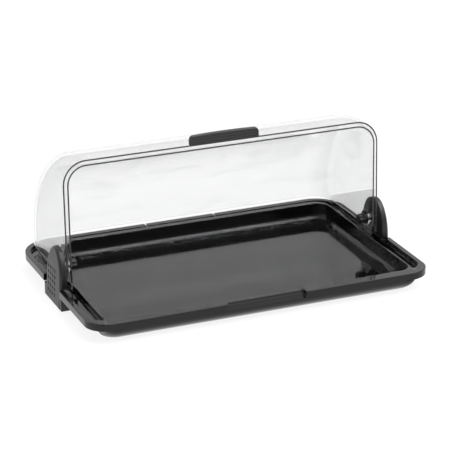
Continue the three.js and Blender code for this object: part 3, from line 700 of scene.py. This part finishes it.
turned_parts = {
    "outer_spacer": ("base", "clear_washer", outer_spacer_outline, 0),
    "inner_spacer": ("base", "clear_washer", inner_spacer_outline, 0),
    "hub_washer": ("base", "clear_washer", washer_outline, 0),
    "bracket_insert": ("clip", "brass", insert_outline, 0),
    "knob": ("turn", "black_satin_plastic", knob_outline, 8),
    "pivot_pin": ("base", "steel", pin_outline, 0),
}
turned_pieces = {}
for word, side in (("left", -1), ("right", 1)):
    for part, (body, slot, outline, lobes) in turned_parts.items():
        piece = make_piece(part + "_turned_" + word, [turned(side, outline, lobes)], sharp=40)
        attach(piece, body if body == "base" else body + "_" + word)
        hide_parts(part + "_" + word)
        turned_pieces[piece] = slot

# %% [markdown]
# ## Finishes
# Real plastic is never one flat colour: the mould leaves a fine grain, and hands leave a slight
# haze. Those two effects are node groups, used in every finish with other values. The shader
# itself stays in the material.

# %% Effects shared by the finishes
def link(tree, a, b):
    tree.links.new(a, b)


def new_group(name, inputs, outputs):
    """An empty shader group with named float sockets."""
    group = bpy.data.node_groups.new(name, "ShaderNodeTree")
    for label, value in inputs:
        socket = group.interface.new_socket(label, in_out="INPUT", socket_type="NodeSocketFloat")
        socket.default_value = value
    for label in outputs:
        group.interface.new_socket(label, in_out="OUTPUT", socket_type="NodeSocketFloat")
    return group, group.nodes.new("NodeGroupInput"), group.nodes.new("NodeGroupOutput")


def mould_grain():
    """Fine grain of a mould: noise at the grain's own scale as height, and slow noise that moves
    the roughness between low and high."""
    inputs = [("Scale", 900), ("Low", 0.3), ("High", 0.4)]
    group, given, out = new_group("mould_grain", inputs, ["Roughness", "Height"])
    where = group.nodes.new("ShaderNodeTexCoord")
    fine = group.nodes.new("ShaderNodeTexNoise")
    fine.inputs["Detail"].default_value = 3
    slow = group.nodes.new("ShaderNodeTexNoise")
    slow.inputs["Scale"].default_value = 22
    slow.inputs["Detail"].default_value = 5
    spread = group.nodes.new("ShaderNodeMapRange")
    spread.inputs["From Min"].default_value = 0.3
    spread.inputs["From Max"].default_value = 0.7
    link(group, where.outputs["Object"], fine.inputs["Vector"])
    link(group, where.outputs["Object"], slow.inputs["Vector"])
    link(group, given.outputs["Scale"], fine.inputs["Scale"])
    link(group, slow.outputs["Fac"], spread.inputs["Value"])
    link(group, given.outputs["Low"], spread.inputs["To Min"])
    link(group, given.outputs["High"], spread.inputs["To Max"])
    link(group, spread.outputs["Result"], out.inputs["Roughness"])
    link(group, fine.outputs["Fac"], out.inputs["Height"])
    return group


def hand_haze():
    """Haze from wiping: noise stretched along one way, cut off below a level, as a mask."""
    inputs = [("Scale", 14), ("Level", 0.55), ("Strength", 0.5)]
    group, given, out = new_group("hand_haze", inputs, ["Mask"])
    where = group.nodes.new("ShaderNodeTexCoord")
    stretch = group.nodes.new("ShaderNodeMapping")
    stretch.inputs["Scale"].default_value = (1.0, 1.6, 3.2)
    stretch.inputs["Rotation"].default_value = (0.2, 0.35, 0.5)
    noise = group.nodes.new("ShaderNodeTexNoise")
    noise.inputs["Detail"].default_value = 6
    noise.inputs["Distortion"].default_value = 0.6
    cut = group.nodes.new("ShaderNodeMapRange")
    cut.inputs["From Max"].default_value = 0.85
    link(group, where.outputs["Object"], stretch.inputs["Vector"])
    link(group, stretch.outputs["Vector"], noise.inputs["Vector"])
    link(group, given.outputs["Scale"], noise.inputs["Scale"])
    link(group, noise.outputs["Fac"], cut.inputs["Value"])
    link(group, given.outputs["Level"], cut.inputs["From Min"])
    link(group, given.outputs["Strength"], cut.inputs["To Max"])
    link(group, cut.outputs["Result"], out.inputs["Mask"])
    return group


grain_group, haze_group = mould_grain(), hand_haze()
print("shared effects:", [g.name for g in bpy.data.node_groups if g.name in ("mould_grain", "hand_haze")])

# %% Opaque finishes
def place_group(tree, group, **values):
    node = tree.nodes.new("ShaderNodeGroup")
    node.node_tree = group
    for label, value in values.items():
        node.inputs[label].default_value = value
    return node


def moulded(name, colour, haze_colour, low, high, scale, bump, metallic=0.0, ior=1.5):
    """A moulded or turned finish: grain drives roughness and bump, and haze shifts the colour."""
    material = bpy.data.materials.new(name)
    material.use_nodes = True
    tree = material.node_tree
    shader = tree.nodes["Principled BSDF"]
    grain = place_group(tree, grain_group, Scale=scale, Low=low, High=high)
    marks = place_group(tree, haze_group, Strength=0.3)
    tint = tree.nodes.new("ShaderNodeMix")
    tint.data_type = "RGBA"
    tint.inputs["A"].default_value = (*colour, 1)
    tint.inputs["B"].default_value = (*haze_colour, 1)
    relief = tree.nodes.new("ShaderNodeBump")
    relief.inputs["Strength"].default_value = bump
    relief.inputs["Distance"].default_value = 0.0002
    link(tree, marks.outputs["Mask"], tint.inputs["Factor"])
    link(tree, tint.outputs["Result"], shader.inputs["Base Color"])
    link(tree, grain.outputs["Roughness"], shader.inputs["Roughness"])
    link(tree, grain.outputs["Height"], relief.inputs["Height"])
    link(tree, relief.outputs["Normal"], shader.inputs["Normal"])
    shader.inputs["Metallic"].default_value = metallic
    shader.inputs["IOR"].default_value = ior
    return material


black, black_haze = (0.002, 0.002, 0.0022), (0.005, 0.005, 0.0055)
satin, satin_haze = (0.007, 0.007, 0.0075), (0.016, 0.016, 0.0175)
grey, grey_haze = (0.014, 0.0145, 0.0155), (0.024, 0.0245, 0.026)
steel, steel_haze = (0.6, 0.61, 0.62), (0.5, 0.51, 0.52)
brass, brass_haze = (0.69, 0.53, 0.28), (0.5, 0.38, 0.2)
finishes = {
    "black_gloss_plastic": moulded("black_gloss_plastic", black, black_haze, 0.06, 0.10, 700, 0.03, ior=1.42),
    "black_satin_plastic": moulded("black_satin_plastic", satin, satin_haze, 0.36, 0.48, 1500, 0.3),
    "grey_satin_plastic": moulded("grey_satin_plastic", grey, grey_haze, 0.36, 0.48, 1500, 0.25),
    "steel": moulded("steel", steel, steel_haze, 0.22, 0.34, 2500, 0.1, metallic=1.0),
    "brass": moulded("brass", brass, brass_haze, 0.25, 0.4, 2500, 0.1, metallic=1.0),
}


def clear(name, colour, shade_and_smear_colour, low, high, edge_frost=0.4, smear_share=2.4):
    """Clear moulded sheet: a refracting shader tinted a little, frosted on the cut edges, with painted
    shade on the cut edges and end walls. Shadow rays pass through, so that the hood doesn't darken the tray."""
    material = bpy.data.materials.new(name)
    material.use_nodes = True
    tree = material.node_tree
    shader = tree.nodes["Principled BSDF"]
    surface = tree.nodes["Material Output"]
    grain = place_group(tree, grain_group, Scale=300, Low=low, High=high)
    marks = place_group(tree, haze_group, Strength=0.05, Scale=9)
    rough = tree.nodes.new("ShaderNodeMath")
    edge = tree.nodes.new("ShaderNodeAttribute")
    edge.attribute_name = "edge_painted_shade"
    tint = tree.nodes.new("ShaderNodeMix")
    tint.data_type = "RGBA"
    tint.inputs["A"].default_value = (*colour, 1)
    tint.inputs["B"].default_value = (*shade_and_smear_colour, 1)
    frosted = tree.nodes.new("ShaderNodeMapRange")
    frosted.inputs["From Min"].default_value = 0.5
    frosted.inputs["To Max"].default_value = edge_frost
    total = tree.nodes.new("ShaderNodeMath")
    link(tree, grain.outputs["Roughness"], rough.inputs[0])
    link(tree, marks.outputs["Mask"], rough.inputs[1])
    link(tree, edge.outputs["Fac"], frosted.inputs["Value"])
    link(tree, rough.outputs["Value"], total.inputs[0])
    link(tree, frosted.outputs["Result"], total.inputs[1])
    link(tree, total.outputs["Value"], shader.inputs["Roughness"])
    # Painted shade from the edge attribute, plus wiping smears, pull the colour towards the second grey.
    smears_and_edge_shade = tree.nodes.new("ShaderNodeMath")
    smears_and_edge_shade.operation = "MULTIPLY_ADD"
    smears_and_edge_shade.inputs[1].default_value = smear_share
    link(tree, marks.outputs["Mask"], smears_and_edge_shade.inputs[0])
    link(tree, edge.outputs["Fac"], smears_and_edge_shade.inputs[2])
    link(tree, smears_and_edge_shade.outputs["Value"], tint.inputs["Factor"])
    link(tree, tint.outputs["Result"], shader.inputs["Base Color"])
    shader.inputs["Transmission Weight"].default_value = 1.0
    shader.inputs["IOR"].default_value = 1.49
    through = tree.nodes.new("ShaderNodeBsdfTransparent")
    through.inputs["Color"].default_value = (0.97, 0.975, 0.975, 1)
    path = tree.nodes.new("ShaderNodeLightPath")
    mix = tree.nodes.new("ShaderNodeMixShader")
    link(tree, path.outputs["Is Shadow Ray"], mix.inputs["Fac"])
    link(tree, shader.outputs["BSDF"], mix.inputs[1])
    link(tree, through.outputs["BSDF"], mix.inputs[2])
    link(tree, mix.outputs["Shader"], surface.inputs["Surface"])
    return material


# The second grey is painted shade on the cut edges and end walls, and also the colour of the smears.
finishes["clear_sheet"] = clear("clear_sheet", (0.98, 0.982, 0.982), (0.40, 0.405, 0.41), 0.0, 0.02)
finishes["clear_washer"] = clear("clear_washer", (0.9, 0.91, 0.91), (0.42, 0.43, 0.43), 0.05, 0.12)

# %% Put the finishes on
dressed = {
    tray: "black_gloss_plastic",
    handle: "grey_satin_plastic",
    front_cover: "clear_sheet",
    rear_cover: "clear_sheet",
}
dressed.update({bracket: "black_satin_plastic" for bracket in brackets})
dressed.update(turned_pieces)
for piece, slot in dressed.items():
    piece.data.materials.clear()
    piece.data.materials.append(finishes[slot])
print("dressed pieces:", len(dressed))

# %% [markdown]
# ## Camera, floor and light
# The case stands on a plain pale floor in a white room, as in a product studio. The room gets
# darker towards the front, and one broad soft box shines from above, in front on the right. A long
# lens from 21 degrees above and 23 degrees to the left gives the picture's view.

# %% Camera
camera_data = bpy.data.cameras.new("camera")
camera_data.sensor_width = 36
camera_data.lens = 168.05
camera = bpy.data.objects.new("camera", camera_data)
bpy.context.scene.collection.objects.link(camera)
azimuth, elevation, roll = math.radians(-22.68), math.radians(21.32), math.radians(-0.21)
level_way = np.array([math.sin(azimuth), -math.cos(azimuth), 0])
back = level_way * math.cos(elevation) + np.array([0, 0, math.sin(elevation)])
right = np.array([math.cos(azimuth), math.sin(azimuth), 0])
up = np.cross(back, right)
right, up = right * math.cos(roll) + up * math.sin(roll), up * math.cos(roll) - right * math.sin(roll)
camera_place = (-1.1937, -2.8760, 1.3000)
rows = [[right[i], up[i], back[i], camera_place[i]] for i in range(3)]
camera.matrix_world = Matrix(rows + [[0, 0, 0, 1]])
camera_data.clip_end = 50
bpy.context.scene.camera = camera

# %% Floor
floor_half = 8
floor_mesh = bpy.data.meshes.new("floor")
floor_corners = [(x * floor_half, y * floor_half, 0) for x, y in ((-1, -1), (1, -1), (1, 1), (-1, 1))]
floor_mesh.from_pydata(floor_corners, [], [(0, 1, 2, 3)])
floor = bpy.data.objects.new("floor", floor_mesh)
bpy.context.scene.collection.objects.link(floor)
floor_look = bpy.data.materials.new("floor")
floor_look.use_nodes = True
floor_shader = floor_look.node_tree.nodes["Principled BSDF"]
floor_shader.inputs["Base Color"].default_value = (0.15, 0.15, 0.15, 1)
floor_shader.inputs["Emission Color"].default_value = (1, 1, 1, 1)
floor_shader.inputs["Emission Strength"].default_value = 0.87
floor_shader.inputs["Roughness"].default_value = 0.9
floor_shader.inputs["Specular IOR Level"].default_value = 0.0
floor_mesh.materials.append(floor_look)

# %% Room and soft box
room = bpy.data.worlds.new("room")
room.use_nodes = True
sky = room.node_tree.nodes["Background"]
sky.inputs["Color"].default_value = (1, 1, 1, 1)
look = room.node_tree.nodes.new("ShaderNodeTexCoord")
towards_back = room.node_tree.nodes.new("ShaderNodeVectorMath")
towards_back.operation = "DOT_PRODUCT"
towards_back.inputs[1].default_value = (0.2, 0.98, 0.0)
dim = room.node_tree.nodes.new("ShaderNodeMapRange")
dim.inputs["From Min"].default_value = -0.9
dim.inputs["From Max"].default_value = 0.1
dim.inputs["To Min"].default_value = 0.3
dim.inputs["To Max"].default_value = 1.08
link(room.node_tree, look.outputs["Generated"], towards_back.inputs[0])
link(room.node_tree, towards_back.outputs["Value"], dim.inputs["Value"])
to_box = room.node_tree.nodes.new("ShaderNodeVectorMath")
to_box.operation = "DOT_PRODUCT"
to_box.inputs[1].default_value = (0.36, -0.36, 0.86)
soft_box = room.node_tree.nodes.new("ShaderNodeMapRange")
soft_box.inputs["From Min"].default_value = 0.86
soft_box.inputs["From Max"].default_value = 0.96
soft_box.inputs["To Max"].default_value = 5.0
both = room.node_tree.nodes.new("ShaderNodeMath")
link(room.node_tree, look.outputs["Generated"], to_box.inputs[0])
link(room.node_tree, to_box.outputs["Value"], soft_box.inputs["Value"])
link(room.node_tree, dim.outputs["Result"], both.inputs[0])
link(room.node_tree, soft_box.outputs["Result"], both.inputs[1])
link(room.node_tree, both.outputs["Value"], sky.inputs["Strength"])
bpy.context.scene.world = room
bpy.context.scene.view_settings.view_transform = "Standard"
